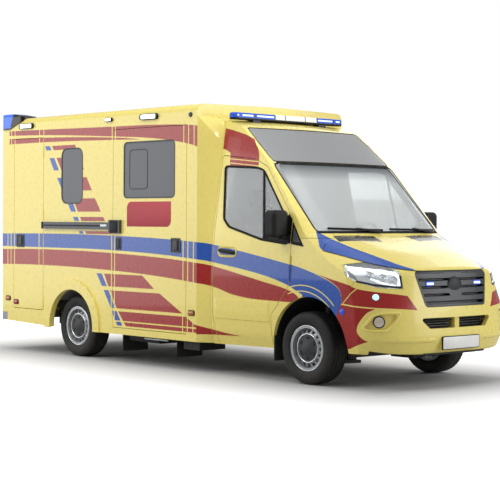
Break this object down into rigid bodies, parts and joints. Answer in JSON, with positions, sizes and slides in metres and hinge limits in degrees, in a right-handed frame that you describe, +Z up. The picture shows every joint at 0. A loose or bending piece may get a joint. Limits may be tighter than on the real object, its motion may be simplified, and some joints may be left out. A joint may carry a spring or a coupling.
{
  "type": "ambulance",
  "caption": "Box-body ambulance on a van chassis cab, pale yellow with red and blue stripes, hinged doors, a lifting bonnet, steered front wheels and blue roof lights.",
  "frame": {"origin": "on the ground, midway between the front bumper and the rear step, on the middle plane", "axes": "+X forward to the front bumper, +Y to the left side, +Z up from the ground"},
  "size_m": [6.18, 2.38, 2.787],
  "materials": {
    "body_yellow": "gloss",
    "glass_clear": "gloss",
    "glass_dark": "gloss",
    "visor_grey": "satin",
    "trim_black": "matte",
    "grille_black": "satin",
    "lamp_clear": "gloss",
    "lamp_blue": "gloss",
    "lamp_red": "gloss",
    "rail_grey": "satin",
    "chassis_black": "satin",
    "engine_grey": "matte",
    "exhaust_steel": "satin",
    "wheel_silver": "satin",
    "tyre_rubber": "matte",
    "seat_fabric": "matte",
    "floor_grey": "matte",
    "step_steel": "satin"
  },
  "bodies": {
    "chassis": {"body_collar": "body_yellow", "box_floor": "floor_grey", "box_front_wall": "body_yellow", "box_rear_frame": "body_yellow", "box_roof": "body_yellow", "box_wall_left": "body_yellow", "box_wall_right": "body_yellow", "box_windows": "glass_dark", "cab_floor": "trim_black", "cab_seats": "seat_fabric", "cab_shell": "body_yellow", "chassis_frame": "chassis_black", "corner_beacons": "lamp_blue", "dashboard": "trim_black", "engine": "engine_grey", "exhaust": "exhaust_steel", "fog_lamps": "body_yellow", "front_axle": "chassis_black", "front_bumper": "body_yellow", "front_panel": "chassis_black", "front_wings": "body_yellow", "grille": "grille_black", "headlamps": "lamp_clear", "leaf_springs": "chassis_black", "light_bar": "lamp_blue", "rear_axle": "chassis_black", "rear_bumper": "step_steel", "rear_lamps": "lamp_red", "scene_lamps": "lamp_clear", "slide_rail": "rail_grey", "sliding_door": "body_yellow", "steering_wheel": "trim_black", "tank_and_step": "trim_black", "visor_panel": "visor_grey", "wheel_liners": "trim_black", "windscreen": "glass_clear"},
    "bonnet": {"bonnet": "body_yellow"},
    "cab_door_right": {"cab_door_right": "body_yellow", "door_glass_right": "glass_clear", "mirror_right": "trim_black"},
    "cab_door_left": {"cab_door_left": "body_yellow", "door_glass_left": "glass_clear", "mirror_left": "trim_black"},
    "locker_door_right": {"locker_door_right": "body_yellow"},
    "locker_door_left": {"locker_door_left": "body_yellow"},
    "rear_door_right": {"rear_door_right": "body_yellow", "rear_glass_right": "glass_dark"},
    "rear_door_left": {"rear_door_left": "body_yellow", "rear_glass_left": "glass_dark"},
    "knuckle_right": {"knuckle_right": "engine_grey"},
    "knuckle_left": {"knuckle_left": "engine_grey"},
    "wheel_front_right": {"rim_front_right": "wheel_silver", "tyre_front_right": "tyre_rubber"},
    "wheel_front_left": {"rim_front_left": "wheel_silver", "tyre_front_left": "tyre_rubber"},
    "wheel_rear_right": {"rim_rear_right": "wheel_silver", "tyre_rear_right": "tyre_rubber"},
    "wheel_rear_left": {"rim_rear_left": "wheel_silver", "tyre_rear_left": "tyre_rubber"}
  },
  "joints": [
    {"name": "bonnet_hinge", "type": "hinge", "parent": "chassis", "child": "bonnet", "pos_m": [2.171, 0, 1.401], "axis": [0, -1, 0], "range_deg": [0, 50]},
    {"name": "cab_door_right_hinge", "type": "hinge", "parent": "chassis", "child": "cab_door_right", "pos_m": [1.819, -1.001, 1.16], "axis": [0, 0, 1], "range_deg": [0, 65]},
    {"name": "cab_door_left_hinge", "type": "hinge", "parent": "chassis", "child": "cab_door_left", "pos_m": [1.819, 1.001, 1.16], "axis": [0, 0, -1], "range_deg": [0, 65]},
    {"name": "locker_door_right_hinge", "type": "hinge", "parent": "chassis", "child": "locker_door_right", "pos_m": [-2.211, -1.051, 1.5], "axis": [0, 0, 1], "range_deg": [0, 95]},
    {"name": "locker_door_left_hinge", "type": "hinge", "parent": "chassis", "child": "locker_door_left", "pos_m": [-2.211, 1.051, 1.5], "axis": [0, 0, -1], "range_deg": [0, 95]},
    {"name": "rear_door_right_hinge", "type": "hinge", "parent": "chassis", "child": "rear_door_right", "pos_m": [-3.061, -0.897, 1.6], "axis": [0, 0, 1], "range_deg": [0, 170]},
    {"name": "rear_door_left_hinge", "type": "hinge", "parent": "chassis", "child": "rear_door_left", "pos_m": [-3.061, 0.897, 1.6], "axis": [0, 0, -1], "range_deg": [0, 170]},
    {"name": "steer_left", "type": "hinge", "parent": "chassis", "child": "knuckle_left", "pos_m": [2.025, 0.8, 0.215], "axis": [0, -0.2275, 0.9738], "range_deg": [-35, 35]},
    {"name": "steer_right", "type": "hinge", "parent": "chassis", "child": "knuckle_right", "pos_m": [2.025, -0.8, 0.215], "axis": [0, 0.2275, 0.9738], "range_deg": [-35, 35]},
    {"name": "wheel_front_left_spin", "type": "hinge", "parent": "knuckle_left", "child": "wheel_front_left", "pos_m": [2.025, 0.867, 0.345], "axis": [0, 1, 0], "continuous": true},
    {"name": "wheel_front_right_spin", "type": "hinge", "parent": "knuckle_right", "child": "wheel_front_right", "pos_m": [2.025, -0.867, 0.345], "axis": [0, 1, 0], "continuous": true},
    {"name": "wheel_rear_left_spin", "type": "hinge", "parent": "chassis", "child": "wheel_rear_left", "pos_m": [-1.64, 0.867, 0.345], "axis": [0, 1, 0], "continuous": true},
    {"name": "wheel_rear_right_spin", "type": "hinge", "parent": "chassis", "child": "wheel_rear_right", "pos_m": [-1.64, -0.867, 0.345], "axis": [0, 1, 0], "continuous": true}
  ],
  "couplings": [
    {"joint": "steer_right", "follows": "steer_left", "ratio": 1}
  ]
}
